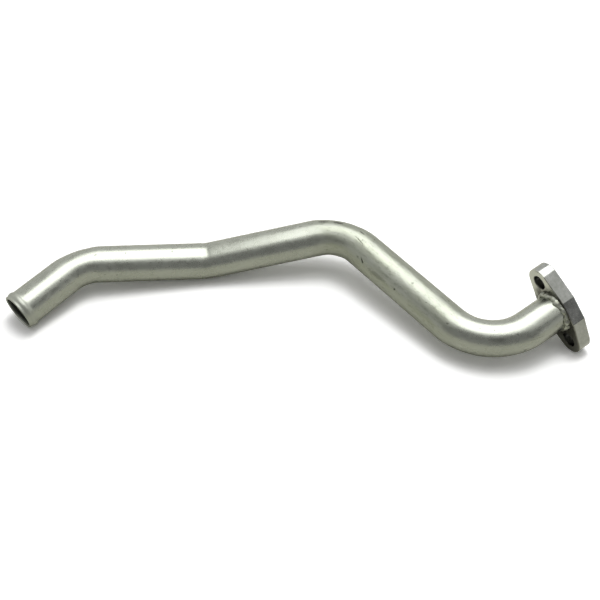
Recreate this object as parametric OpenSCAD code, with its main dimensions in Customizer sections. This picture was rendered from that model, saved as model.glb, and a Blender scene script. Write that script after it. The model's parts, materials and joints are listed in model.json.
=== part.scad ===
// Turbo oil return pipe: a bent steel tube with a rolled bead at its hose end,
// and a two-bolt flange welded on at its other end. Sizes are in millimetres and degrees.
// The pipe lies on the floor, z = 0, on its bead, its second bend and the flange's lower end.

/* [Tube] */
// Outside diameter of the tube
tube_d = 22; // [20:0.5:24]
// Wall thickness of the tube
tube_wall = 1.5; // [1.2:0.1:2]
// Centre-line radius of all four bends
bend_r = 35; // [34:1:40]
// How much thinner the wall is on each face in a bend, where bending stretches it
bend_thinning = 0.05; // [0.03:0.01:0.1]

/* [Straight lengths] */
// Straight 1, from the hose end to the first bend
straight_1 = 33.5; // [30:0.5:45]
// Straight 2, between the first and the second bend
straight_2 = 58.5; // [54:0.5:64]
// Straight 3, between the second and the third bend
straight_3 = 61; // [56:0.5:66]
// Straight 4, between the third and the fourth bend
straight_4 = 68; // [64:0.5:72]
// Straight 5, from the fourth bend to the flange
straight_5 = 17.5; // [15:0.5:24]

/* [Bend angles] */
// Bend 1, near the hose end
bend_1 = 40.5; // [37:0.5:44]
// Bend 2, the shallow one that rests on the floor
bend_2 = 15.5; // [14:0.5:19]
// Bend 3, at the top of the arch
bend_3 = 55.5; // [52:0.5:59]
// Bend 4, the deep one before the flange
bend_4 = 82; // [78:0.5:86]

/* [Turns between bends] */
// Turn of the tube about its own axis from bend 1 to bend 2
turn_1 = -101; // [-106:0.5:-96]
// Turn from bend 2 to bend 3
turn_2 = 101; // [96:0.5:106]
// Turn from bend 3 to bend 4
turn_3 = 173; // [168:0.5:178]

/* [Hose end bead] */
// How far the bead stands out beyond the tube's outside
bead_rise = 0.7; // [0.5:0.1:1.2]
// Radius of the bead's shallow curves, which the wall follows
bead_sweep = 2.8; // [2.6:0.1:4]
// Length of plain tube before the bead
bead_start = 0.7; // [0.6:0.1:2]
// Radius of the end's outer corner
end_round = 0.3; // [0.2:0.1:0.6]
// Width of the end's inner chamfer
end_chamfer = 0.3; // [0.2:0.1:0.5]

/* [Flange] */
// Distance between the two bolt holes
bolt_spacing = 38; // [37:0.5:42]
// Diameter of the bolt holes
bolt_hole_d = 8.6; // [6.6:0.2:9]
// Radius of the rounded ends
flange_end_r = 8.5; // [8:0.5:11]
// Width across the middle
flange_w = 26; // [26:0.5:34]
// Length of the flat on each side of the middle
flange_flat = 14; // [10:1:18]
// How far both flats lie off the middle, towards the lower bolt hole
flat_shift = 1.5; // [0:0.5:3]
// Thickness of the plate
flange_t = 8.5; // [8:0.5:12]
// Depth that the tube reaches into the plate
socket_depth = 6; // [4:0.5:6.5]
// Turn of the flange about the tube's axis, from the plane of bend 4
flange_turn = -142; // [-152:1:-132]

/* [Weld] */
// Reach of the weld bead over the plate
weld_out = 1.8; // [1.2:0.1:1.9]
// Reach of the weld bead along the tube
weld_up = 2.6; // [1.6:0.1:4]
// Blunt thickness of the weld bead at its two edges
weld_edge = 0.5; // [0.3:0.1:0.8]

/* [Hidden] */

// Facets round a full circle: the tube, one whole turn of a bend, and the holes
tube_fn = 40;
sweep_fn = 72;
hole_fn = 48;

// How far a cutting body passes the surface that it cuts
past = 1;

straights = [straight_1, straight_2, straight_3, straight_4, straight_5];
bends = [bend_1, bend_2, bend_3, bend_4];
turns = [turn_1, turn_2, turn_3, 0];

tube_r = tube_d / 2;
bore_r = tube_r - tube_wall;

// Angle by which each end of a bend reaches into the next straight
bend_root = 0.5;

// Bead: a rise and a fall of two arcs each, which meet tangentially. Heights are measured from the hose end.
bead_r = tube_r + bead_rise;
bead_angle = acos(1 - bead_rise / (2 * bead_sweep));
bead_half = 2 * bead_sweep * sin(bead_angle);
bead_crest = bead_start + bead_half;
bead_end = bead_crest + bead_half;

// Flange outline: the corners of the side flats, and the straight tapers from them, which touch the end circles
bolt_x = bolt_spacing / 2;
flange_y = flange_w / 2;
flat_low = flat_shift - flange_flat / 2;
flat_high = flat_shift + flange_flat / 2;
function touch(corner, x) =
    let (
        gap = corner - [x, 0],
        a = atan2(gap[1], gap[0]) - sign(x * gap[1]) * acos(flange_end_r / norm(gap))
    )
    [x + flange_end_r * cos(a), flange_end_r * sin(a)];

function arc(c, r, from, to, n) = [
    for (k = [0:n])
    let (a = from + (to - from) * k / n)
    [c[0] + r * cos(a), c[1] + r * sin(a)]
];

// Places along the tube, as matrices: z runs on along the tube, x points to the inside of the next bend.
function move_by(v) = [[1, 0, 0, v[0]], [0, 1, 0, v[1]], [0, 0, 1, v[2]], [0, 0, 0, 1]];
function spin_y(a) = [[cos(a), 0, sin(a), 0], [0, 1, 0, 0], [-sin(a), 0, cos(a), 0], [0, 0, 0, 1]];
function spin_z(a) = [[cos(a), -sin(a), 0, 0], [sin(a), cos(a), 0, 0], [0, 0, 1, 0], [0, 0, 0, 1]];
function round_bend(a) = move_by([bend_r, 0, 0]) * spin_y(a) * move_by([-bend_r, 0, 0]);
function in_bend(i, a) = run_start(i) * move_by([0, 0, straights[i]]) * round_bend(a);
function run_start(i) = i == 0 ? move_by([0, 0, 0]) : in_bend(i - 1, bends[i - 1]) * spin_z(turns[i - 1]);
function place(m, p) = [for (k = [0:2]) m[k] * [p[0], p[1], p[2], 1]];
function heading(m) = [for (k = [0:2]) m[k][2]];

// The pipe's outside as discs, each a centre, an axis, a radius and the radius its rim is rounded by.
// They give its reach in any direction.
flange_at = run_start(4) * move_by([0, 0, straight_5]) * spin_z(flange_turn);
bead_disc = [[0, 0, bead_crest], [0, 0, 1], bead_r - bead_sweep, bead_sweep];
end_disc = [[0, 0, end_round], [0, 0, 1], tube_r - end_round, end_round];
function bend_discs(i) = [
    for (a = [0:bends[i] / 24:bends[i] + 0.01])
    let (m = in_bend(i, a))
    [place(m, [0, 0, 0]), heading(m), tube_r - bend_thinning, 0]
];
flange_discs = [
    for (x = [-bolt_x, bolt_x], z = [0, flange_t])
    [place(flange_at, [x, 0, z]), heading(flange_at), flange_end_r, 0]
];
flange_corners = [
    for (x = [flat_low, flat_high], y = [-flange_y, flange_y], z = [0, flange_t])
    [place(flange_at, [x, y, z]), heading(flange_at), 0, 0]
];
discs = concat(
    [bead_disc, end_disc],
    bend_discs(0), bend_discs(1), bend_discs(2), bend_discs(3),
    flange_discs, flange_corners
);

function unit(v) = v / norm(v);
function square_to(v, d) = v - d * (v * d);
function reach(d, v) = d[0] * v + d[2] * norm(square_to(v, d[1])) + d[3];
function furthest(d, v) = d[0] + d[2] * unit(square_to(v, d[1])) + d[3] * v;
function pick(list, v, i = 0) = reach(list[i], v) >= max([for (d = list) reach(d, v)]) ? list[i] : pick(list, v, i + 1);
function foot(list, down) = furthest(pick(list, down), down);

// The floor passes under the bead, bend 2 and the flange. Which points touch depends on how the floor tilts,
// so the plane through them is found again a few times.
function floor_up(a, b, c) = unit(cross(c - a, b - a));
function settled(up, n) =
    n == 0 ? up : settled(floor_up(foot([bead_disc], -up), foot(bend_discs(1), -up), foot(flange_discs, -up)), n - 1);
flange_centre = place(flange_at, [0, 0, 0]);
up = settled(floor_up([0, 0, 0], place(in_bend(1, bends[1] / 2), [0, 0, 0]), flange_centre), 12);
ahead = unit(square_to(flange_centre, up));
aside = cross(up, ahead);
function extent(v) = max([for (d = discs) reach(d, v)]);
function middle(v) = (extent(v) - extent(-v)) / 2;
floor_gap = extent(-up);

module settle()
    multmatrix([
        [ahead[0], ahead[1], ahead[2], -middle(ahead)],
        [aside[0], aside[1], aside[2], -middle(aside)],
        [up[0], up[1], up[2], floor_gap],
        [0, 0, 0, 1]
    ])
    children();

// Past bend i and its turn, to the start of the next straight
module past_bend(i)
    translate([bend_r, 0, 0])
    rotate([0, bends[i], 0])
    translate([-bend_r, 0, 0])
    rotate([0, 0, turns[i]])
    children();

module at_run(i) {
    if (i == 0)
        children();
    else
        at_run(i - 1)
        translate([0, 0, straights[i - 1]])
        past_bend(i - 1)
        children();
}

module at_flange()
    settle()
    at_run(4)
    translate([0, 0, straight_5])
    rotate([0, 0, flange_turn])
    children();

module tube_ring(thinner = 0)
    difference() {
        circle(r = tube_r - thinner, $fn = tube_fn);
        circle(r = bore_r + thinner, $fn = tube_fn);
    }

// A bend's wall starts and ends inside the walls of the straights beside it.
module bend(angle)
    translate([bend_r, 0, 0])
    rotate([90, 0, 180])
    rotate([0, 0, -bend_root])
    rotate_extrude(angle = angle + 2 * bend_root, $fn = sweep_fn)
    translate([bend_r, 0])
    tube_ring(bend_thinning);

// The first straight with the bead, turned round the tube's axis in one piece
module bead_and_straight()
    rotate_extrude($fn = tube_fn)
    polygon(concat(
        [[bore_r + end_chamfer, 0]],
        arc([tube_r - end_round, end_round], end_round, -90, 0, 4),
        arc([tube_r + bead_sweep, bead_start], bead_sweep, 180, 180 - bead_angle, 4),
        arc([bead_r - bead_sweep, bead_crest], bead_sweep, -3 * bead_angle / 4, bead_angle, 7),
        arc([tube_r + bead_sweep, bead_end], bead_sweep, 180 + 3 * bead_angle / 4, 180, 3),
        [[tube_r, straights[0]], [bore_r, straights[0]]],
        arc([tube_r + bead_sweep, bead_end], bead_sweep + tube_wall, 180, 180 + bead_angle, 4),
        arc([bead_r - bead_sweep, bead_crest], bead_sweep - tube_wall, 3 * bead_angle / 4, -bead_angle, 7),
        arc([tube_r + bead_sweep, bead_start], bead_sweep + tube_wall, 180 - 3 * bead_angle / 4, 180, 3),
        [[bore_r, end_chamfer]]
    ));

module tube_from(i) {
    if (i == 0)
        bead_and_straight();
    else
        linear_extrude(height = straights[i] + (i == 4 ? socket_depth : 0))
        tube_ring();
    if (i < 4)
        translate([0, 0, straights[i]]) {
            bend(bends[i]);
            past_bend(i)
                tube_from(i + 1);
        }
}

module return_tube()
    color("silver")
    settle()
    tube_from(0);

module flange_outline() {
    polygon([
        [flat_high, flange_y],
        [flat_low, flange_y],
        touch([flat_low, flange_y], -bolt_x),
        touch([flat_low, -flange_y], -bolt_x),
        [flat_low, -flange_y],
        [flat_high, -flange_y],
        touch([flat_high, -flange_y], bolt_x),
        touch([flat_high, flange_y], bolt_x)
    ]);
    for (x = [-bolt_x, bolt_x])
        translate([x, 0])
        circle(r = flange_end_r, $fn = hole_fn);
}

module flange_plate()
    color("darkgray")
    at_flange()
    difference() {
        linear_extrude(height = flange_t)
            flange_outline();
        translate([0, 0, -past])
            cylinder(r = bore_r, h = flange_t + 2 * past, $fn = tube_fn);
        translate([0, 0, -past])
            cylinder(r = tube_r, h = socket_depth + past, $fn = tube_fn);
        for (x = [-bolt_x, bolt_x])
            translate([x, 0, -past])
            cylinder(d = bolt_hole_d, h = flange_t + 2 * past, $fn = hole_fn);
    }

module weld_bead()
    color("gray")
    at_flange()
    rotate_extrude($fn = tube_fn)
    polygon([
        [tube_r, -weld_up],
        [tube_r + weld_edge, -weld_up],
        [tube_r + weld_out, -weld_edge],
        [tube_r + weld_out, 0],
        [tube_r, 0]
    ]);

return_tube();
flange_plate();
weld_bead();
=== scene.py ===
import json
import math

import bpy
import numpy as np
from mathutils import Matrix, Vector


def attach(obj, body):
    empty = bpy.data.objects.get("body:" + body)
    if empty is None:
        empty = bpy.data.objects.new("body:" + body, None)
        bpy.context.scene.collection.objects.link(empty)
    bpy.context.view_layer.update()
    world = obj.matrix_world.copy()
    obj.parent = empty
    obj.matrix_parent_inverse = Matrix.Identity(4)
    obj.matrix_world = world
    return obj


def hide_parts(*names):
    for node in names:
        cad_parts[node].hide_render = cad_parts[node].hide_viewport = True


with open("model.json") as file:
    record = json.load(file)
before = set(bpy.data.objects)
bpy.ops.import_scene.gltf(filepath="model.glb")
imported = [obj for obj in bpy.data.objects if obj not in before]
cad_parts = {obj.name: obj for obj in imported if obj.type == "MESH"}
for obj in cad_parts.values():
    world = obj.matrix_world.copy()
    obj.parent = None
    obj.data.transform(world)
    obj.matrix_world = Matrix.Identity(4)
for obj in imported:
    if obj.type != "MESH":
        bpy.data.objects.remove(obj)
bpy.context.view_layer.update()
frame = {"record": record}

# %% [markdown]
# # A turbo oil return pipe, dressed over its CAD frame
# The real part is a zinc-plated steel tube, 22 mm across, that lets oil run down from a turbocharger.
# One end has a rolled bead that holds a rubber hose on. The other end is welded into a flange with two
# bolt holes. The CAD frame gives every size and place. This file makes the surfaces: a tube with the
# slightly oval bends that bending leaves, a flange with broken edges, a hand-laid weld, and the
# plating's dull shine.

MM = 0.001


def nothing_selected():
    if bpy.context.object and bpy.context.object.mode != "OBJECT":
        bpy.ops.object.mode_set(mode="OBJECT")
    bpy.ops.object.select_all(action="DESELECT")


def work_on(piece):
    nothing_selected()
    piece.select_set(True)
    bpy.context.view_layer.objects.active = piece


# %% [markdown]
# ## Where the tube runs
# A tube bender works from a table: how far to push the tube, how far to turn it, how far to bend it.
# The same table is repeated here from the CAD source, in metres and degrees. The tube starts at the
# hose end, whose place and direction are in the record. The table doesn't say how the tube is turned
# about its own axis at the start, so that angle is worked out: it is the one at which the last straight
# ends on the flange's face.

# %% The bender's table
TUBE_R = 11 * MM
WALL = 1.5 * MM
BEND_R = 35 * MM
STRAIGHTS = [33.5 * MM, 58.5 * MM, 61 * MM, 68 * MM, 17.5 * MM]
BENDS = [40.5, 15.5, 55.5, 82]
TURNS = [-101, 101, 173]
SOCKET_DEPTH = 6 * MM
FLANGE_T = 8.5 * MM
FLANGE_TURN = -142

BEAD_R = TUBE_R + 0.7 * MM
BEAD_SWEEP = 2.8 * MM
BEAD_START = 0.7 * MM
BEAD_ANGLE = math.acos(1 - (BEAD_R - TUBE_R) / (2 * BEAD_SWEEP))
BEAD_CREST = BEAD_START + 2 * BEAD_SWEEP * math.sin(BEAD_ANGLE)
BEAD_END = 2 * BEAD_CREST - BEAD_START

along = Matrix.Translation
mounts = {m["name"]: m for m in frame["record"]["mounts"]}


def round_bend(degrees):
    return along((BEND_R, 0, 0)) @ Matrix.Rotation(math.radians(degrees), 4, "Y") @ along((-BEND_R, 0, 0))


def turned(degrees):
    return Matrix.Rotation(math.radians(degrees), 4, "Z")


def flange_from(start):
    place = start
    for length, bend, turn in zip(STRAIGHTS, BENDS, TURNS + [0]):
        place = place @ along((0, 0, length)) @ round_bend(bend) @ turned(turn)
    return place @ along((0, 0, STRAIGHTS[-1])) @ turned(FLANGE_TURN)


hose_out = Vector(mounts["hose_end"]["axis"]).normalized()
tip = Vector(mounts["hose_end"]["pos_m"]) + hose_out * (BEAD_END + STRAIGHTS[0]) / 2
facing_in = (-hose_out).to_track_quat("Z", "Y").to_matrix().to_4x4()
facing_in.translation = tip
wanted = facing_in.inverted() @ Vector(mounts["oil_passage"]["pos_m"])
reached = (flange_from(Matrix()) @ along((0, 0, FLANGE_T))).translation
first_turn = math.degrees(math.atan2(wanted.y, wanted.x) - math.atan2(reached.y, reached.x))
TUBE_START = facing_in @ turned(first_turn)
FLANGE_AT = flange_from(TUBE_START)
missed = (FLANGE_AT @ Vector((0, 0, FLANGE_T)) - Vector(mounts["oil_passage"]["pos_m"])).length
print("The table ends", round(missed / MM, 3), "mm from the flange's place in the record")

# %% [markdown]
# ## The tube
# The real tube starts straight, has a bead rolled up near its end, and is then bent. A pipe bender
# stretches the outside of each bend, so the round section turns slightly oval there. A curve with a
# bevel would make a quick pipe, but it can't change its section. So the tube is drawn by hand: one
# circle of points is pushed along each straight with extrude, and swept round each bend with spin.
# After each step of a bend the new ring is squeezed a little towards the bend's centre. The sheet then
# gets its wall from Solidify.

# %% A ring of points that is pushed along
# Points in a ring, the gap between rings on a straight, and the angle between them in a bend
AROUND = 96
RING_GAP = 2 * MM
BEND_STEP = 2.5
# How much narrower the middle of a full bend is, the share of a bend in which it gets so, and a full bend
OVAL = 0.06
OVAL_RUN = 0.35
FULL_OVAL_BEND = 50
print("The longest bend is drawn in", math.ceil(max(BENDS) / BEND_STEP), "steps")


class Drawing:
    """The tube's end while it is being drawn: where it is, and each ring's place and distance from the tip.

    A ring's place is kept without the turns, because the bender turns the tube, not the marks on it."""

    place = TUBE_START
    gone = 0.0
    turns_made = 0
    rings = [(TUBE_START.copy(), 0.0)]


def note_ring(step):
    Drawing.gone += step
    Drawing.rings.append((Drawing.place @ turned(-Drawing.turns_made), Drawing.gone))


def turn(degrees):
    Drawing.place = Drawing.place @ turned(degrees)
    Drawing.turns_made += degrees


def push(length):
    before = Drawing.place.translation.copy()
    Drawing.place = Drawing.place @ along((0, 0, length))
    step = Drawing.place.translation - before
    bpy.ops.mesh.extrude_region_move(TRANSFORM_OT_translate={"value": step, "orient_type": "GLOBAL"})
    note_ring(length)


def widen(ratio):
    bpy.ops.transform.resize(value=(ratio,) * 3, center_override=Drawing.place.translation)


def squeeze(ratio):
    bpy.ops.transform.resize(
        value=(ratio, 1, 1),
        orient_type="LOCAL",
        orient_matrix=Drawing.place.to_3x3(),
        orient_matrix_type="LOCAL",
        center_override=Drawing.place.translation,
    )


def straight(length):
    steps = math.ceil(length / RING_GAP)
    for _ in range(steps):
        push(length / steps)


def eased(t):
    t = min(1, max(0, t))
    return t * t * (3 - 2 * t)


def ovalness(bend, part):
    """The section's width at a part of the way round a bend: whole at its ends, least in its middle."""
    return 1 - OVAL * min(1, bend / FULL_OVAL_BEND) * eased(part / OVAL_RUN) * eased((1 - part) / OVAL_RUN)


def bend(degrees):
    steps = math.ceil(degrees / BEND_STEP)
    step = degrees / steps
    for k in range(steps):
        centre = Drawing.place @ Vector((BEND_R, 0, 0))
        axis = Drawing.place.to_3x3() @ Vector((0, 1, 0))
        bpy.ops.mesh.spin(steps=1, angle=-math.radians(step), center=centre, axis=axis)
        Drawing.place = Drawing.place @ round_bend(step)
        note_ring(math.radians(step) * BEND_R)
        squeeze(ovalness(degrees, (k + 1) / steps) / ovalness(degrees, k / steps))


# %% [markdown]
# The bead's outline is the one in the CAD source: a short plain nose, then a rise and a fall of two
# shallow arcs each. Each step pushes the ring on and widens or narrows it to the next radius.

# %% The bead's outline and the whole tube
ARC_STEPS = 6
SAME_POINT = 0.001 * MM


def bead_outline():
    """Distance from the tip and radius of each ring, from the tip to the end of the bead."""
    angles = np.linspace(0, BEAD_ANGLE, ARC_STEPS)
    hollow = [(BEAD_SWEEP * math.sin(a), TUBE_R + BEAD_SWEEP * (1 - math.cos(a))) for a in angles]
    crown = [(BEAD_SWEEP * math.sin(a), BEAD_R - BEAD_SWEEP * (1 - math.cos(a))) for a in angles]
    rise = [(BEAD_START + z, r) for z, r in hollow] + [(BEAD_CREST - z, r) for z, r in crown[-2::-1]]
    fall = [(BEAD_CREST + z, r) for z, r in crown[1:]] + [(BEAD_END - z, r) for z, r in hollow[-2::-1]]
    return [(0, TUBE_R)] + rise + fall


def draw_tube():
    outline = bead_outline()
    nothing_selected()
    bpy.ops.mesh.primitive_circle_add(vertices=AROUND, radius=outline[0][1], fill_type="NOTHING")
    tube = bpy.context.object
    tube.name = "bent_tube"
    tube.matrix_world = TUBE_START
    bpy.ops.object.transform_apply(location=True, rotation=True, scale=True)
    bpy.ops.object.mode_set(mode="EDIT")
    bpy.ops.mesh.select_all(action="SELECT")
    for (z0, r0), (z1, r1) in zip(outline, outline[1:]):
        push(z1 - z0)
        widen(r1 / r0)
    straight(STRAIGHTS[0] - Drawing.gone)
    for degrees, turning, length in zip(BENDS, TURNS + [0], STRAIGHTS[1:]):
        bend(degrees)
        turn(turning)
        straight(length)
    straight(SOCKET_DEPTH)
    bpy.ops.mesh.select_all(action="SELECT")
    bpy.ops.mesh.remove_doubles(threshold=SAME_POINT)
    bpy.ops.mesh.normals_make_consistent(inside=False)
    bpy.ops.object.mode_set(mode="OBJECT")
    return tube


tube = draw_tube()
print("The tube has", len(tube.data.vertices), "points and is", round(Drawing.gone / MM), "mm long")

# %% [markdown]
# ### Remembering the straight tube
# Drawing marks, rolling marks and scratches were made while the tube was straight, so they run along it
# and follow its bends. Each point therefore keeps, in an attribute, the place it had on the straight
# tube: x and y across the section, z along it. The plating's material reads that attribute instead of
# the object's own coordinates.

# %% The attribute straight_place
PLANE_SLACK = 0.02 * MM


def remember_straight_place(piece):
    points = np.array([v.co for v in piece.data.vertices])
    places = np.zeros_like(points)
    nearest = np.full(len(points), np.inf)
    for ring, gone in Drawing.rings:
        local = (points - np.array(ring.translation)) @ np.array(ring.to_3x3())
        across = np.hypot(local[:, 0], local[:, 1])
        off_plane = np.abs(local[:, 2])
        here = (off_plane < PLANE_SLACK) & (across < 2 * TUBE_R) & (off_plane < nearest)
        nearest[here] = off_plane[here]
        places[here] = local[here]
        places[here, 2] = gone
    attribute = piece.data.attributes.new("straight_place", "FLOAT_VECTOR", "POINT")
    attribute.data.foreach_set("vector", places.astype(np.float32).ravel())
    return int(np.isinf(nearest).sum())


print("Points on no ring:", remember_straight_place(tube))

# %% [markdown]
# ### The wall and the mouth
# Solidify gives the sheet its wall, and marks the faces inside for a material of their own. A cutter
# leaves the mouth's edges sharp, so the real ones are broken by hand: rounded outside and chamfered
# inside. Bevel does both, once the right ring of points is selected by its radius.

# %% The tube's wall, its filed mouth and its smooth shading
MOUTH_ROUND = 0.3 * MM
MOUTH_CHAMFER = 0.3 * MM
ROUND_SEGMENTS = 4
RADIUS_SLACK = 0.1 * MM
TUBE_CREASE = 40


def break_mouth(piece, radius, width, segments):
    """Bevel the ring of the mouth that has a given radius."""
    inwards = facing_in.inverted()
    for v in piece.data.vertices:
        local = inwards @ v.co
        off_ring = abs(math.hypot(local.x, local.y) - radius)
        v.select = abs(local.z) < PLANE_SLACK and off_ring < RADIUS_SLACK
    bpy.ops.object.mode_set(mode="EDIT")
    bpy.ops.mesh.select_mode(type="VERT")
    bpy.ops.mesh.bevel(offset=width, segments=segments, affect="EDGES")
    bpy.ops.mesh.select_all(action="DESELECT")
    bpy.ops.object.mode_set(mode="OBJECT")


work_on(tube)
wall = tube.modifiers.new("wall", "SOLIDIFY")
wall.thickness = WALL
wall.offset = -1
wall.material_offset = 1
bpy.ops.object.modifier_apply(modifier=wall.name)
bpy.ops.object.mode_set(mode="EDIT")
bpy.ops.mesh.select_all(action="DESELECT")
bpy.ops.object.mode_set(mode="OBJECT")
break_mouth(tube, TUBE_R, MOUTH_ROUND, ROUND_SEGMENTS)
break_mouth(tube, TUBE_R - WALL, MOUTH_CHAMFER, 1)
bpy.ops.object.shade_smooth_by_angle(angle=math.radians(TUBE_CREASE))
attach(tube, "root")
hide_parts("return_tube")
print("With its wall the tube has", len(tube.data.polygons), "faces")

# %% [markdown]
# ## The flange
# The real flange is sawn from plate: two round ends for the bolts, a wide middle for the tube, and
# straight cuts between them, with a file run over the edges. Three blocks give that outline at once: a
# convex hull stretched over two discs and one bar is exactly the shape of the cuts. The holes are then
# cut with Boolean, which keeps them at their real size, and a narrow Bevel breaks the edges, so that
# they catch the light.

# %% The flange's sizes and blank
BOLT_X = 19 * MM
BOLT_HOLE_R = 4.3 * MM
END_R = 8.5 * MM
FLANGE_W = 26 * MM
FLANGE_FLAT = 14 * MM
FLAT_SHIFT = 1.5 * MM
MID_T = FLANGE_T / 2
ROUND_END = 72


def flange_blank():
    nothing_selected()
    bpy.ops.mesh.primitive_cube_add(size=1, location=(FLAT_SHIFT, 0, MID_T))
    blank = bpy.context.object
    blank.name = "sawn_flange"
    blank.scale = (FLANGE_FLAT, FLANGE_W, FLANGE_T)
    bpy.ops.object.transform_apply(location=True, rotation=True, scale=True)
    bpy.ops.object.mode_set(mode="EDIT")
    for side in (-1, 1):
        bpy.ops.mesh.primitive_cylinder_add(
            vertices=ROUND_END, radius=END_R, depth=FLANGE_T, location=(side * BOLT_X, 0, MID_T))
    bpy.ops.mesh.select_all(action="SELECT")
    bpy.ops.mesh.convex_hull()
    bpy.ops.mesh.dissolve_limited(angle_limit=math.radians(1))
    bpy.ops.object.mode_set(mode="OBJECT")
    return blank


flange = flange_blank()
print("The flange's blank has", len(flange.data.polygons), "faces")


# %% Drilling, the socket, broken edges, and its place
# How far a drill passes the plate, the play round the tube, and the width of the broken edges
PAST = 1 * MM
SOCKET_GAP = 0.02 * MM
EDGE_BREAK = 0.45 * MM
# Edges sharper than the first angle are broken, and those sharper than the second one shade as corners.
BREAK_OVER = 30
FLANGE_CREASE = 12


def cut_round_hole(blank, x, radius, low, high, vertices=ROUND_END):
    nothing_selected()
    bpy.ops.mesh.primitive_cylinder_add(
        vertices=vertices, radius=radius, depth=high - low, location=(x, 0, (low + high) / 2))
    drill = bpy.context.object
    bpy.ops.object.transform_apply(location=True, rotation=True, scale=True)
    work_on(blank)
    hole = blank.modifiers.new("hole", "BOOLEAN")
    hole.object = drill
    hole.operation = "DIFFERENCE"
    hole.solver = "EXACT"
    bpy.ops.object.modifier_apply(modifier=hole.name)
    bpy.data.objects.remove(drill)


for side in (-1, 1):
    cut_round_hole(flange, side * BOLT_X, BOLT_HOLE_R, -PAST, FLANGE_T + PAST)
cut_round_hole(flange, 0, TUBE_R - WALL, -PAST, FLANGE_T + PAST, AROUND)
cut_round_hole(flange, 0, TUBE_R + SOCKET_GAP, -PAST, SOCKET_DEPTH, AROUND)
work_on(flange)
edges = flange.modifiers.new("broken edges", "BEVEL")
edges.width = EDGE_BREAK
edges.segments = 2
edges.limit_method = "ANGLE"
edges.angle_limit = math.radians(BREAK_OVER)
bpy.ops.object.modifier_apply(modifier=edges.name)
flange.matrix_world = FLANGE_AT
bpy.ops.object.transform_apply(location=True, rotation=True, scale=True)
bpy.ops.object.shade_smooth_by_angle(angle=math.radians(FLANGE_CREASE))
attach(flange, "root")
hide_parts("flange_plate")
print("The flange has", len(flange.data.polygons), "faces")

# %% [markdown]
# ## The weld
# A welder lays the bead by hand, one small pool after another, so it swells and dips as it goes round,
# and leaves a lump where the arc starts and stops. A torus is the right start. Each of its sections is
# selected in turn and resized by its own amount, the whole bead is drawn out along the tube, and a
# Displace with a cloud texture then roughs it up.

# %% A lumpy ring of weld
WELD_CENTRE_R = TUBE_R + 0.2 * MM
WELD_R = 1.45 * MM
WELD_LONG = 1.5
WELD_SECTIONS = 144
WELD_ROUND = 18
POOLS = 26
# The bead's middle thickness, and how far it swells in each pool, as shares of its plain thickness
WELD_MIDDLE = 0.88
POOL_SWELL = 0.07
# Its slow waves: how many go round, how far they are shifted in degrees, and how far they swell it
WAVES = [(2, 40, 0.13), (5, 140, 0.07)]
# Each lump: degrees round the tube, its width in degrees, and how much thicker the bead is there.
LUMPS = [(-58, 11, 0.6), (-36, 7, 0.45), (-128, 9, 0.4), (172, 10, 0.35), (-84, 6, -0.25), (60, 14, 0.3)]


def turn_between(a, b):
    """The turn from one angle to another, the short way round."""
    return (a - b + 180) % 360 - 180


def weld_size(degrees):
    """How thick the bead is at an angle round the tube, as a share of its plain thickness."""
    slow = sum(swell * math.sin(math.radians(many * degrees + shift)) for many, shift, swell in WAVES)
    pools = POOL_SWELL * abs(math.sin(math.radians(degrees * POOLS / 2)))
    lumps = sum(tall * math.exp(-(turn_between(degrees, at) / wide) ** 2) for at, wide, tall in LUMPS)
    return WELD_MIDDLE + slow + pools + lumps


def lay_weld():
    nothing_selected()
    bpy.ops.mesh.primitive_torus_add(
        major_radius=WELD_CENTRE_R, minor_radius=WELD_R,
        major_segments=WELD_SECTIONS, minor_segments=WELD_ROUND)
    bead = bpy.context.object
    bead.name = "weld_ring"
    bpy.ops.object.mode_set(mode="EDIT")
    bpy.ops.mesh.select_mode(type="VERT")
    for k in range(WELD_SECTIONS):
        bpy.ops.mesh.select_all(action="DESELECT")
        bpy.ops.object.mode_set(mode="OBJECT")
        for v in bead.data.vertices[k * WELD_ROUND:(k + 1) * WELD_ROUND]:
            v.select = True
        bpy.ops.object.mode_set(mode="EDIT")
        degrees = 360 * k / WELD_SECTIONS
        centre = turned(degrees) @ Vector((WELD_CENTRE_R, 0, 0))
        bpy.ops.transform.resize(value=(weld_size(degrees),) * 3, center_override=centre)
    bpy.ops.mesh.select_all(action="SELECT")
    bpy.ops.transform.resize(value=(1, 1, WELD_LONG))
    bpy.ops.object.mode_set(mode="OBJECT")
    return bead


weld = lay_weld()
thickness = [2 * WELD_R * weld_size(360 * k / WELD_SECTIONS) / MM for k in range(WELD_SECTIONS)]
print("The smooth bead is", round(min(thickness), 1), "to", round(max(thickness), 1), "mm thick")

# %% Roughing the weld up, and its place
CLOUD_SIZE = 2.6 * MM
CLOUD_REACH = 1.15 * MM


def rough_up(bead, size, depth):
    clouds = bpy.data.textures.new("weld clouds", "CLOUDS")
    clouds.noise_scale = size
    clouds.noise_depth = 2
    lumps = bead.modifiers.new("lumps", "DISPLACE")
    lumps.texture = clouds
    lumps.texture_coords = "LOCAL"
    lumps.strength = depth
    lumps.mid_level = 0.5
    work_on(bead)
    bpy.ops.object.modifier_apply(modifier=lumps.name)


rough_up(weld, CLOUD_SIZE, CLOUD_REACH)
weld.matrix_world = FLANGE_AT
bpy.ops.object.transform_apply(location=True, rotation=True, scale=True)
bpy.ops.object.shade_smooth()
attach(weld, "root")
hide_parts("weld_bead")
print("The weld has", len(weld.data.polygons), "faces")

# %% [markdown]
# ## The plating
# Zinc plate is a metal skin with a dull shine, a little green in its passivation. What makes it look
# real is that nothing about it is even: it is cloudy over centimetres, streaked along the tube, and
# grainy below a millimetre. A picture of zinc would show its seams in the bends, so each unevenness is
# a noise at its own scale instead, and together they drive the colour, the roughness and the bump.

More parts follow.
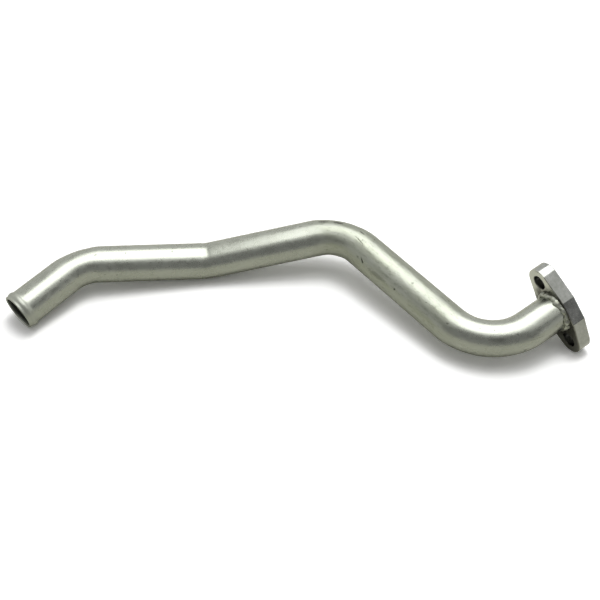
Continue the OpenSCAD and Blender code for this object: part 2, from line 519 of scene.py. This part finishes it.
# %% A material and its nodes
def new_material(name):
    """An empty material, whose node tree holds an output alone."""
    material = bpy.data.materials.new(name)
    material.use_nodes = True
    tree = material.node_tree
    tree.nodes.clear()
    return material, tree, tree.nodes.new("ShaderNodeOutputMaterial")


def new_finish(name):
    """A material whose output shows one Principled shader."""
    material, tree, output = new_material(name)
    shader = tree.nodes.new("ShaderNodeBsdfPrincipled")
    tree.links.new(shader.outputs[0], output.inputs[0])
    return material, tree, shader


def node(tree, kind, settings=None, **inputs):
    """A node with its settings and inputs. An input is named, or numbered as i0, i1 and so on."""
    made = tree.nodes.new("ShaderNode" + kind)
    for key, value in (settings or {}).items():
        setattr(made, key, value)
    for key, value in inputs.items():
        socket = made.inputs[int(key[1:])] if key[0] == "i" and key[1:].isdigit() else made.inputs[key]
        if isinstance(value, bpy.types.NodeSocket):
            tree.links.new(value, socket)
        else:
            socket.default_value = value
    return made


# %% Noises and ranges
# A noise seldom leaves the first range, and it spends most of its area in the second.
USUAL = (0.3, 0.7)
MIDDLE = (0.35, 0.65)


def noise(tree, place, cells, along_z, detail, rough):
    """A cloudy pattern from 0 to 1, with about so many cells to the metre.

    along_z scales its z axis: under 1, it draws the pattern out along z."""
    drawn_out = node(tree, "Mapping", i0=place, Scale=(1, 1, along_z)).outputs[0]
    return node(tree, "TexNoise", Vector=drawn_out, Scale=cells, Detail=detail, Roughness=rough).outputs[0]


def spread(tree, value, low, high, to_low, to_high):
    """A value between low and high, moved to between to_low and to_high, and held at their ends."""
    return node(tree, "MapRange", i0=value, i1=low, i2=high, i3=to_low, i4=to_high).outputs[0]


# %% Sums, blends and bumps
def joined(tree, operation, a, b):
    return node(tree, "Math", {"operation": operation}, i0=a, i1=b).outputs[0]


def times(tree, a, b):
    return joined(tree, "MULTIPLY", a, b)


def plus(tree, a, b):
    return joined(tree, "ADD", a, b)


def layers(tree, *pairs):
    """The sum of some noises, each times its share."""
    height = 0
    for value, share in pairs:
        height = plus(tree, height, times(tree, value, share))
    return height


def blend(tree, share, first, second):
    """A colour between two others. Each is a socket or a colour."""
    mix = node(tree, "Mix", {"data_type": "RGBA"}, i0=share)
    for slot, colour in ((6, first), (7, second)):
        if isinstance(colour, bpy.types.NodeSocket):
            tree.links.new(colour, mix.inputs[slot])
        else:
            mix.inputs[slot].default_value = colour
    return mix.outputs[2]


def parts_of(tree, place):
    """The three parts of a place, as sockets."""
    return node(tree, "SeparateXYZ", i0=place).outputs


def drive_bump(tree, shader, height, strength, distance):
    bump = node(tree, "Bump", Strength=strength, Distance=distance, Height=height)
    tree.links.new(bump.outputs[0], shader.inputs["Normal"])


# %% [markdown]
# ### Wear on the tube
# The arch of this pipe is duller and more scuffed than the rest, shallow pits are scattered all over
# it, and a few dark marks stand where it was knocked. Marks could be painted on by hand. Here each one
# is an ellipse on the straight tube with an uneven edge, so that it can be moved by changing one line,
# and it shows from every side that it is seen from.

# %% The dull stretch and the pits
DULL_FROM = 184 * MM
DULL_TO = 287 * MM
DULL_EASE = 14 * MM
# How much finer than the cells a pit's wobble is, how far it reaches in a cell, and where a pit is full
PIT_WOBBLE_FINE = 3
PIT_WOBBLE = 0.5
PIT_CORE = 0.5
print("Duller from", round(DULL_FROM / MM), "to", round((DULL_TO + DULL_EASE) / MM), "mm from the tip")


def dulled(tree, place):
    """1 on the stretch that the plating left duller, over the arch and down the straight behind it."""
    gone = parts_of(tree, place)[2]
    begun = spread(tree, gone, DULL_FROM, DULL_FROM + DULL_EASE, 0, 1)
    ended = spread(tree, gone, DULL_TO, DULL_TO + DULL_EASE, 1, 0)
    return times(tree, begun, ended)


def pits(tree, place, cells, size, share):
    """Uneven pits with a radius of size in a cell, in a share of the cells: 1 in a pit, 0 outside."""
    wobble = node(tree, "TexNoise", Vector=place, Scale=cells * PIT_WOBBLE_FINE, Detail=2.0)
    bent = node(tree, "VectorMath", {"operation": "MULTIPLY_ADD"}, i0=wobble.outputs["Color"], i2=place)
    bent.inputs[1].default_value = (PIT_WOBBLE / cells,) * 3
    spots = node(tree, "TexVoronoi", {"feature": "F1"}, Vector=bent.outputs[0], Scale=cells).outputs
    near = spread(tree, spots["Distance"], size, size * PIT_CORE, 0, 1)
    pick = node(tree, "SeparateColor", i0=spots["Color"]).outputs[0]
    return times(tree, near, joined(tree, "LESS_THAN", pick, share))


# %% The marks
# Each mark: mm from the tip, degrees round the tube, half its length and width in mm, its lean in degrees,
# and how dark it is.
MARKS = [
    (228.3, -45.8, 2.3, 0.55, -36, 1),
    (241, -39, 8, 1.7, 3, 0.33),
    (255.1, -42.8, 0.8, 0.75, 0, 1),
    (275.1, -76, 0.5, 0.4, 20, 0.6),
    (292.2, -69, 0.9, 0.6, 40, 0.55),
    (28.7, -62, 0.5, 0.45, 0, 0.7),
    (67.2, -24.4, 0.7, 0.5, 0, 0.5),
    (60.2, -27.8, 0.9, 0.4, 15, 0.4),
    (219.3, -89.4, 4.6, 0.3, -10, 0.9),
    (194.5, -121, 3.2, 1, 0, 0.8),
    (202.5, -122, 3.2, 1.1, 0, 0.9),
    (216.7, -117.7, 2, 0.6, -10, 0.7),
    (318, -65, 5, 1.4, 0, 0.3),
    (330.1, -8.8, 0.9, 0.7, 30, 0.9),
    (336.4, -38, 5.5, 0.18, -14, 0.55),
]
# How far a mark reaches into the wall, the share of it that is fully dark, and how far its edge wavers
MARK_DEEP = 2 * MM
MARK_CORE = 0.55
EDGE_WAVER = 0.4
# The noise of its edge: cells to the metre, scale along z, detail and roughness
EDGE_NOISE = (1500, 1, 3, 0.7)


def mark(tree, place, wobble, along_tube, degrees, long, wide, lean, dark):
    """One mark of a given darkness, 0 outside: an ellipse with an uneven edge, on the tube's surface."""
    around = math.radians(degrees)
    mapping = node(tree, "Mapping", {"vector_type": "TEXTURE"}, i0=place)
    mapping.inputs["Location"].default_value = (
        TUBE_R * math.cos(around), TUBE_R * math.sin(around), along_tube * MM)
    mapping.inputs["Rotation"].default_value = (math.radians(lean), 0, around)
    mapping.inputs["Scale"].default_value = (MARK_DEEP, wide * MM, long * MM)
    gap = node(tree, "VectorMath", {"operation": "LENGTH"}, i0=mapping.outputs[0]).outputs["Value"]
    return spread(tree, plus(tree, gap, wobble), 1, MARK_CORE, 0, dark)


def all_marks(tree, place):
    wobble = spread(tree, noise(tree, place, *EDGE_NOISE), *USUAL, -EDGE_WAVER, EDGE_WAVER)
    most = mark(tree, place, wobble, *MARKS[0])
    for values in MARKS[1:]:
        most = joined(tree, "MAXIMUM", most, mark(tree, place, wobble, *values))
    return most


print("Marks on the tube:", len(MARKS))

# %% [markdown]
# ### Zinc on the drawn tube
# The noises here are read on the straight tube. One that is squeezed along z grows long along the tube,
# like the streaks that a drawing die leaves. Some of the noises change the colour a little, some the
# roughness, and nearly all add to the bump. Colour is kept nearly even, because plated metal shows its
# unevenness mostly in how sharp its highlights are.

# %% Zinc plate on the drawn tube
ZINC_LIGHT = (0.36, 0.374, 0.335, 1)
ZINC_DARK = (0.29, 0.303, 0.264, 1)
ZINC_DULL = (0.252, 0.268, 0.214, 1)
SCUFF_DARK = (0.11, 0.115, 0.09, 1)
MARK_DARK = (0.035, 0.035, 0.028, 1)
# Each noise: cells to the metre, scale along z, detail and roughness
CLOUDS = (60, 1, 3, 0.6)
DENTS = (170, 0.45, 2, 0.5)
DRAWN = (330, 0.18, 3, 0.6)
SPOTS = (420, 0.6, 3, 0.6)
SCUFFS = (700, 0.35, 4, 0.75)
STREAKS = (800, 0.06, 3, 0.6)
GRAIN = (1900, 1, 3, 0.65)
# The small pits: cells to the metre, radius in a cell, and the share of cells that have one
PITS = (230, 0.17, 0.12)
print("Zinc from", ZINC_DARK[:3], "to", ZINC_LIGHT[:3], "and duller at", ZINC_DULL[:3])

# %% The tube's colour and roughness
# Between what the clouds and the spots move the tone, from dark to light, and how full the dull tone is
TONE_BY_CLOUDS = (0, 0.6)
TONE_BY_SPOTS = (-0.05, 0.3)
DULL_PATCHY = (0.15, 0.8)
# Where in its noise a scuff begins and is full, how dark it gets, and the share of it off the dull stretch
SCUFF_RANGE = (0.54, 0.7)
SCUFF_MOST = 0.5
SCUFF_ELSEWHERE = 0.25
# Between what the clouds, the spots and the dull stretch move the roughness
ROUGH_BY_CLOUDS = (0.25, 0.31)
ROUGH_BY_SPOTS = (-0.04, 0.05)
ROUGH_BY_DULL = (0.12, 0.02)
# What the hose's wear adds to it at the bead, how far from the tip that is full, and where it has faded out
BEAD_WORN = 0.17
BEAD_WORN_FROM = 4.2 * MM
BEAD_WORN_TO = 7 * MM


def tube_zinc(tree, place, clouds, spots, drawn, dull):
    """The colour: cloudy zinc, greener where it is dull, and darker where it is scuffed."""
    cloudy = spread(tree, clouds, *USUAL, *TONE_BY_CLOUDS)
    tone = plus(tree, cloudy, spread(tree, spots, *MIDDLE, *TONE_BY_SPOTS))
    zinc = blend(tree, tone, ZINC_DARK, ZINC_LIGHT)
    patchy = spread(tree, drawn, *MIDDLE, *DULL_PATCHY)
    zinc = blend(tree, times(tree, dull, patchy), zinc, ZINC_DULL)
    scuffs = spread(tree, noise(tree, place, *SCUFFS), *SCUFF_RANGE, 0, SCUFF_MOST)
    scuffed = times(tree, scuffs, spread(tree, dull, 0, 1, SCUFF_ELSEWHERE, 1))
    return blend(tree, scuffed, zinc, SCUFF_DARK)


def tube_roughness(tree, place, clouds, spots, drawn, dull):
    """Cloudy, rougher on the dull stretch, and worn by the hose at the bead."""
    cloudy = spread(tree, clouds, *USUAL, *ROUGH_BY_CLOUDS)
    rough = plus(tree, cloudy, spread(tree, spots, *USUAL, *ROUGH_BY_SPOTS))
    rough = plus(tree, rough, times(tree, dull, spread(tree, drawn, *MIDDLE, *ROUGH_BY_DULL)))
    gone = parts_of(tree, place)[2]
    return plus(tree, rough, spread(tree, gone, BEAD_WORN_TO, BEAD_WORN_FROM, 0, BEAD_WORN))


# %% The tube's plating
# The bump's strength and its height in metres, and how much of the zinc a pit darkens
TUBE_BUMP = (0.6, 0.03 * MM)
PIT_DARK = 0.5
# Shares of the bump: the first two are the same all over, the next two grow on the dull stretch, and the
# last one is below zero, because pits and marks cut in.
STREAK_SHARE = 0.35
GRAIN_SHARE = 0.08
FINE_SHARE = (0.5, 4)
DENT_SHARE = (3.5, 14)
HOLLOW_SHARE = -1.5


def tube_plating():
    material, tree, shader = new_finish("zinc on the tube")
    place = node(tree, "Attribute", {"attribute_name": "straight_place"}).outputs["Vector"]
    clouds = noise(tree, place, *CLOUDS)
    spots = noise(tree, place, *SPOTS)
    drawn = noise(tree, place, *DRAWN)
    small_pits = pits(tree, place, *PITS)
    dull = dulled(tree, place)
    marks = all_marks(tree, place)
    zinc = tube_zinc(tree, place, clouds, spots, drawn, dull)
    zinc = blend(tree, times(tree, small_pits, PIT_DARK), zinc, MARK_DARK)
    tree.links.new(blend(tree, marks, zinc, MARK_DARK), shader.inputs["Base Color"])
    shader.inputs["Metallic"].default_value = 1.0
    tree.links.new(tube_roughness(tree, place, clouds, spots, drawn, dull), shader.inputs["Roughness"])
    height = layers(
        tree,
        (noise(tree, place, *STREAKS), STREAK_SHARE),
        (noise(tree, place, *GRAIN), GRAIN_SHARE),
        (spots, spread(tree, dull, 0, 1, *FINE_SHARE)),
        (noise(tree, place, *DENTS), spread(tree, dull, 0, 1, *DENT_SHARE)),
        (drawn, spread(tree, dull, 0, 1, *FINE_SHARE)),
        (small_pits, HOLLOW_SHARE),
        (marks, HOLLOW_SHARE),
    )
    drive_bump(tree, shader, height, *TUBE_BUMP)
    return material


def dress(piece, material):
    piece.data.materials.clear()
    piece.data.materials.append(material)
    print(piece.name, "wears", material.name, "with", len(material.node_tree.nodes), "nodes")


dress(tube, tube_plating())

# %% The inside, dark with oil and painted shade
# Near black: a film of old oil, and painted shade inside the tube
OIL_AND_SHADE_DARK = (0.002, 0.002, 0.0015, 1)
OIL_AND_SHADE_FILM = (0.006, 0.006, 0.004, 1)
# The film's noise: cells to the metre, scale along z, detail and roughness
FILM = (300, 0.3, 3, 0.5)
OIL_ROUGH = (0.5, 0.7)
OIL_SHINE = 0.08


def passage():
    """The inside of the tube: bare steel under a dark film of old oil, painted near black as shade."""
    material, tree, shader = new_finish("oily and shaded inside")
    place = node(tree, "Attribute", {"attribute_name": "straight_place"}).outputs["Vector"]
    film = noise(tree, place, *FILM)
    # The near-black tone is old oil and painted shade
    oil = blend(tree, spread(tree, film, *MIDDLE, 0, 1), OIL_AND_SHADE_DARK, OIL_AND_SHADE_FILM)
    tree.links.new(oil, shader.inputs["Base Color"])
    tree.links.new(spread(tree, film, *USUAL, *OIL_ROUGH), shader.inputs["Roughness"])
    shader.inputs["Specular IOR Level"].default_value = OIL_SHINE
    return material


tube.data.materials.append(passage())
print("The tube's slots:", [slot.name for slot in tube.material_slots])

# %% [markdown]
# ### Zinc on the flange and on the weld
# The flange is flat, so its plating follows it in its own axes: a Mapping node turns the object's
# coordinates so that x runs through the bolt holes and z out of the tube. The back is painted paler than
# the sawn sides, a painted reflection of the white table below it. Painted shade darkens the back round
# the tube, a painted shadow of the tube darkens its low end, and the holes are painted dark inside as
# shade.

# %% The flange's own axes
FLANGE_LIGHT = (0.35, 0.357, 0.342, 1)
FLANGE_DARK = (0.27, 0.278, 0.258, 1)
# The back's paler tone is a painted reflection of the table below it.
BACK_REFLECTION_LIGHT = (0.52, 0.53, 0.47, 1)
# Painted shade round the tube, and a painted shadow of the tube over the low end
PAINTED_SHADE = (0.03, 0.028, 0.02, 1)
# Painted shade inside the bolt holes
HOLE_SHADE = (0.008, 0.006, 0.004, 1)


def flange_place(tree):
    """Object coordinates in the flange's own axes: x through the bolt holes, z out of the tube."""
    inwards = FLANGE_AT.inverted()
    mapping = node(tree, "Mapping", i0=node(tree, "TexCoord").outputs["Object"])
    mapping.inputs["Location"].default_value = inwards.translation
    mapping.inputs["Rotation"].default_value = inwards.to_euler()
    return mapping.outputs[0]


def away_from(tree, place, x):
    """Distance from a hole's axis, at x on the flange."""
    flat = node(tree, "VectorMath", {"operation": "MULTIPLY"}, i0=place)
    flat.inputs[1].default_value = (1, 1, 0)
    gap = node(tree, "VectorMath", {"operation": "DISTANCE"}, i0=flat.outputs[0])
    gap.inputs[1].default_value = (x, 0, 0)
    return gap.outputs["Value"]


print("The flange's axes start at", [round(v / MM, 1) for v in FLANGE_AT.translation], "mm")

# %% Zinc plate on the sawn flange
# The back's paler tone, a painted reflection of the table, fades out just past its broken edges.
BACK_FROM = 0.3 * MM
BACK_TO = 0.8 * MM
# The painted shade fades between two distances from the tube's axis, which waver. At the low end of the
# flange a painted shadow of the tube begins again between two places along x.
SHADE_FROM = 13 * MM
SHADE_TO = 19 * MM
SHADE_WAVER = 2 * MM
LOW_END_SHADOW_FROM = 7 * MM
LOW_END_SHADOW_TO = 13 * MM
# The painted shade inside a bolt hole fades out across its rim.
RIM_FROM = BOLT_HOLE_R - 0.1 * MM
RIM_TO = BOLT_HOLE_R + 0.3 * MM
# How much of the zinc each of them covers
BACK_REFLECTION_SHARE = 0.7
SHADE_SHARE = 0.9
LOW_END_SHADOW_SHARE = 0.75
HOLE_SHADE_SHARE = 0.93
# Between what the clouds and the spots move the tone, from dark to light
FLANGE_TONE_BY_CLOUDS = (0, 0.7)
FLANGE_TONE_BY_SPOTS = (-0.1, 0.4)


def flange_zinc(tree, place, clouds, spots):
    cloudy = spread(tree, clouds, *MIDDLE, *FLANGE_TONE_BY_CLOUDS)
    tone = plus(tree, cloudy, spread(tree, spots, *MIDDLE, *FLANGE_TONE_BY_SPOTS))
    zinc = blend(tree, tone, FLANGE_DARK, FLANGE_LIGHT)
    parts = parts_of(tree, place)
    on_back = spread(tree, parts[2], BACK_FROM, BACK_TO, 1, 0)
    # The back is painted paler, as a painted reflection of the table.
    zinc = blend(tree, times(tree, on_back, BACK_REFLECTION_SHARE), zinc, BACK_REFLECTION_LIGHT)
    # Painted shade on the back, round the tube
    wavy = plus(tree, away_from(tree, place, 0), spread(tree, clouds, *USUAL, -SHADE_WAVER, SHADE_WAVER))
    shaded_near_tube = times(tree, on_back, spread(tree, wavy, SHADE_FROM, SHADE_TO, SHADE_SHARE, 0))
    zinc = blend(tree, shaded_near_tube, zinc, PAINTED_SHADE)
    # A painted shadow of the tube over the back of the flange's low end
    low_end_shadow = spread(tree, parts[0], LOW_END_SHADOW_FROM, LOW_END_SHADOW_TO, 0, LOW_END_SHADOW_SHARE)
    zinc = blend(tree, times(tree, on_back, low_end_shadow), zinc, PAINTED_SHADE)
    # Painted shade inside each bolt hole
    for x in (-BOLT_X, BOLT_X):
        inside = spread(tree, away_from(tree, place, x), RIM_FROM, RIM_TO, HOLE_SHADE_SHARE, 0)
        zinc = blend(tree, inside, zinc, HOLE_SHADE)
    return zinc


# %% The flange's plating
# Each noise: cells to the metre, scale along z, detail and roughness
FLANGE_CLOUDS = (190, 1, 4, 0.6)
FLANGE_SPOTS = (520, 1, 3, 0.6)
SAWN = (900, 0.12, 2, 0.5)
FLANGE_GRAIN = (1800, 1, 3, 0.5)
FLANGE_ROUGH = (0.1, 0.18)
# The bump's strength and its height in metres
FLANGE_BUMP = (0.4, 0.05 * MM)


def flange_plating():
    material, tree, shader = new_finish("zinc on the flange")
    place = flange_place(tree)
    clouds = noise(tree, place, *FLANGE_CLOUDS)
    spots = noise(tree, place, *FLANGE_SPOTS)
    sawn = noise(tree, place, *SAWN)
    grain = noise(tree, place, *FLANGE_GRAIN)
    tree.links.new(flange_zinc(tree, place, clouds, spots), shader.inputs["Base Color"])
    shader.inputs["Metallic"].default_value = 1.0
    tree.links.new(spread(tree, clouds, *USUAL, *FLANGE_ROUGH), shader.inputs["Roughness"])
    height = layers(tree, (clouds, 1.2), (grain, 0.15), (spots, 0.5), (sawn, 0.15))
    drive_bump(tree, shader, height, *FLANGE_BUMP)
    return material


dress(flange, flange_plating())

# %% Zinc plate on the weld
WELD_DARK = (0.19, 0.195, 0.155, 1)
WELD_LIGHT = (0.38, 0.395, 0.345, 1)
# The lumps' noise: cells to the metre, scale along z, detail and roughness
LUMP_NOISE = (480, 1, 3, 0.5)
# Where in that noise the zinc turns from dark to light
LIGHT_RANGE = (0.35, 0.6)
WELD_ROUGH = (0.25, 0.45)
WELD_BUMP = (0.7, 0.2 * MM)


def weld_plating():
    material, tree, shader = new_finish("zinc on the weld")
    place = node(tree, "TexCoord").outputs["Object"]
    lumps = noise(tree, place, *LUMP_NOISE)
    zinc = blend(tree, spread(tree, lumps, *LIGHT_RANGE, 0, 1), WELD_DARK, WELD_LIGHT)
    tree.links.new(zinc, shader.inputs["Base Color"])
    shader.inputs["Metallic"].default_value = 1.0
    tree.links.new(spread(tree, lumps, *USUAL, *WELD_ROUGH), shader.inputs["Roughness"])
    drive_bump(tree, shader, lumps, *WELD_BUMP)
    return material


dress(weld, weld_plating())

# %% [markdown]
# ## The table and the dark room
# Polished and plated metal shows what stands round it, so the set matters as much as the finish. The
# pipe lies on a white table, under a large softbox that leans a little to the back, with a dark room
# behind the camera. In the tube the softbox makes the broad white band, the room the dark one below it,
# and the table the grey one at the bottom. The room is a curved screen that the camera itself can't
# see.

# %% The white table
TABLE_WIDE = 6
# To the camera the paint is above 1, so that the faint outer part of the shadow still shows as white.
WHITE = (1.25, 1.25, 1.25, 1)
REFLECTED_WHITE = (0.82, 0.815, 0.72, 1)
TABLE_PAINT = (0.7, 0.7, 0.7, 1)
# How far from the part, in metres, the plain white begins and is full
FAR_FROM = 0.35
FAR_TO = 0.6


def table_paint():
    """White to the camera, a little greyer in the metal's reflections, and plain paint to other light.

    Far from the part, where the lamps don't reach, it turns to plain white like the background."""
    material, tree, output = new_material("white table")
    path = node(tree, "LightPath").outputs
    mirrored = joined(tree, "MAXIMUM", path["Is Glossy Ray"], path["Is Transmission Ray"])
    tone = blend(tree, mirrored, TABLE_PAINT, REFLECTED_WHITE)
    tone = blend(tree, path["Is Camera Ray"], tone, WHITE)
    paint = node(tree, "BsdfDiffuse", i0=tone)
    middle = node(tree, "VectorMath", {"operation": "LENGTH"}, i0=node(tree, "TexCoord").outputs["Object"])
    far = times(tree, spread(tree, middle.outputs["Value"], FAR_FROM, FAR_TO, 0, 1), path["Is Camera Ray"])
    mix = node(tree, "MixShader", i0=far, i1=paint.outputs[0], i2=node(tree, "Emission").outputs[0])
    tree.links.new(mix.outputs[0], output.inputs[0])
    return material


nothing_selected()
bpy.ops.mesh.primitive_plane_add(size=TABLE_WIDE, location=(0, 0, 0))
table = bpy.context.object
table.name = "table"
dress(table, table_paint())

# %% The dark room behind the camera
# Its radius and length in metres, how far up it reaches in degrees, and its sides all round
ROOM_R = 1.0
ROOM_LONG = 3
ROOM_TOP = 58
ROOM_SIDES = 72
# How bright it is at the floor, and above a height in metres
ROOM_LOW_GLOW = 0.55
ROOM_GLOW = 0.36
ROOM_LOW_TO = 0.25
# The share of that at its right end, and between which places along x it falls to this share
ROOM_RIGHT_GLOW = 0.7
ROOM_RIGHT_FROM = 0.6
ROOM_RIGHT_TO = 1.1


def room_glow():
    """A dim grey, lighter low down, where the table lights the wall, and darker at the right end."""
    material, tree, output = new_material("dark room")
    where = parts_of(tree, node(tree, "TexCoord").outputs["Object"])
    glow = spread(tree, where[2], 0, ROOM_LOW_TO, ROOM_LOW_GLOW, ROOM_GLOW)
    glow = times(tree, glow, spread(tree, where[0], ROOM_RIGHT_FROM, ROOM_RIGHT_TO, 1, ROOM_RIGHT_GLOW))
    tree.links.new(node(tree, "Emission", Strength=glow).outputs[0], output.inputs[0])
    return material


def dark_room():
    """A curved screen: the wall of a wide lying tube, from the floor up to ROOM_TOP degrees, in front."""
    nothing_selected()
    bpy.ops.mesh.primitive_cylinder_add(
        vertices=ROOM_SIDES, radius=ROOM_R, depth=ROOM_LONG, end_fill_type="NOTHING",
        rotation=(0, math.pi / 2, 0))
    room = bpy.context.object
    room.name = "dark_room"
    bpy.ops.object.transform_apply(location=True, rotation=True, scale=True)
    bpy.ops.object.mode_set(mode="EDIT")
    top = math.radians(ROOM_TOP)
    for side in ((0, 0, -1), (0, math.sin(top), math.cos(top))):
        bpy.ops.mesh.select_all(action="SELECT")
        bpy.ops.mesh.bisect(plane_co=(0, 0, 0), plane_no=side, clear_outer=True)
    bpy.ops.object.mode_set(mode="OBJECT")
    room.visible_camera = False
    room.visible_diffuse = False
    dress(room, room_glow())


dark_room()

# %% [markdown]
# ## The lamps
# Metal shows the shape of a lamp, and a table shows its shadow, so each gets its own. The softbox is
# only seen in reflections. Two more lamps light the table and stay out of the reflections: the wide one
# makes the soft part of the shadows, and the small one their darker core. One lamp for both would
# either blur the shadows or narrow the white band in the tube.

# %% The lamps
LAMP_AWAY = 1.2
# Each lamp: its width and depth in metres, its power in watts, and its lean to the back and to the side in
# degrees.
SOFTBOX = (0.94, 1.52, 13.8, 14, 3.8)
WIDE_LAMP = (1.1, 1.1, 7.6, 10, 4)
SMALL_LAMP = (0.4, 0.4, 4.4, 9, 4)


def hang_lamp(name, wide, deep, power, lean, side):
    """An area lamp that hangs over the part, leaning to the back and to one side by some degrees."""
    lamp = bpy.data.objects.new(name, bpy.data.lights.new(name, "AREA"))
    bpy.context.scene.collection.objects.link(lamp)
    lamp.data.shape = "RECTANGLE"
    lamp.data.size = wide
    lamp.data.size_y = deep
    lamp.data.energy = power
    turn_back = Matrix.Rotation(-math.radians(lean), 4, "X")
    turn_aside = Matrix.Rotation(math.radians(side), 4, "Y")
    lamp.matrix_world = turn_back @ turn_aside @ along((0, 0, LAMP_AWAY))
    print(name, "gives", power, "W from", [round(v, 2) for v in lamp.matrix_world.translation], "m")
    return lamp


hang_lamp("softbox", *SOFTBOX).visible_diffuse = False
hang_lamp("wide_lamp", *WIDE_LAMP).visible_glossy = False
hang_lamp("small_lamp", *SMALL_LAMP).visible_glossy = False

# %% The world
WORLD_LIGHT = 0.34
SKY = (1, 1, 0.98, 1)


def background_ray(tree):
    """1 for rays that show the background itself: from the camera, or by way of metal or glass."""
    path = node(tree, "LightPath").outputs
    seen = joined(tree, "MAXIMUM", path["Is Camera Ray"], path["Is Glossy Ray"])
    return joined(tree, "MAXIMUM", seen, path["Is Transmission Ray"])


world = bpy.data.worlds.new("world")
bpy.context.scene.world = world
world.use_nodes = True
tree = world.node_tree
tree.nodes.clear()
sky = node(tree, "Background", i0=SKY, i1=spread(tree, background_ray(tree), 0, 1, WORLD_LIGHT, 1))
tree.links.new(sky.outputs[0], tree.nodes.new("ShaderNodeOutputWorld").inputs[0])
print("The world lights the part at", WORLD_LIGHT, "and shows as 1")

# %% [markdown]
# ## The camera
# The camera stands in front of the pipe and looks down on it. Its place, angles and lens were found by
# fitting: they are the ones at which the pipe's edges fall where the photograph has them.

# %% The camera
CAMERA_PLACE = (13.2 * MM, -382.7 * MM, 433.8 * MM)
CAMERA_DOWN = 48.16
CAMERA_LEFT = 1.563
CAMERA_LENS = 57.88
SENSOR = 36

camera = bpy.data.objects.new("camera", bpy.data.cameras.new("camera"))
bpy.context.scene.collection.objects.link(camera)
camera.data.lens = CAMERA_LENS
camera.data.sensor_width = SENSOR
camera.location = CAMERA_PLACE
camera.rotation_euler = (math.radians(90 - CAMERA_DOWN), 0, math.radians(CAMERA_LEFT))
bpy.context.scene.camera = camera
bpy.context.scene.view_settings.view_transform = "Standard"
print("The camera looks down by", CAMERA_DOWN, "degrees")
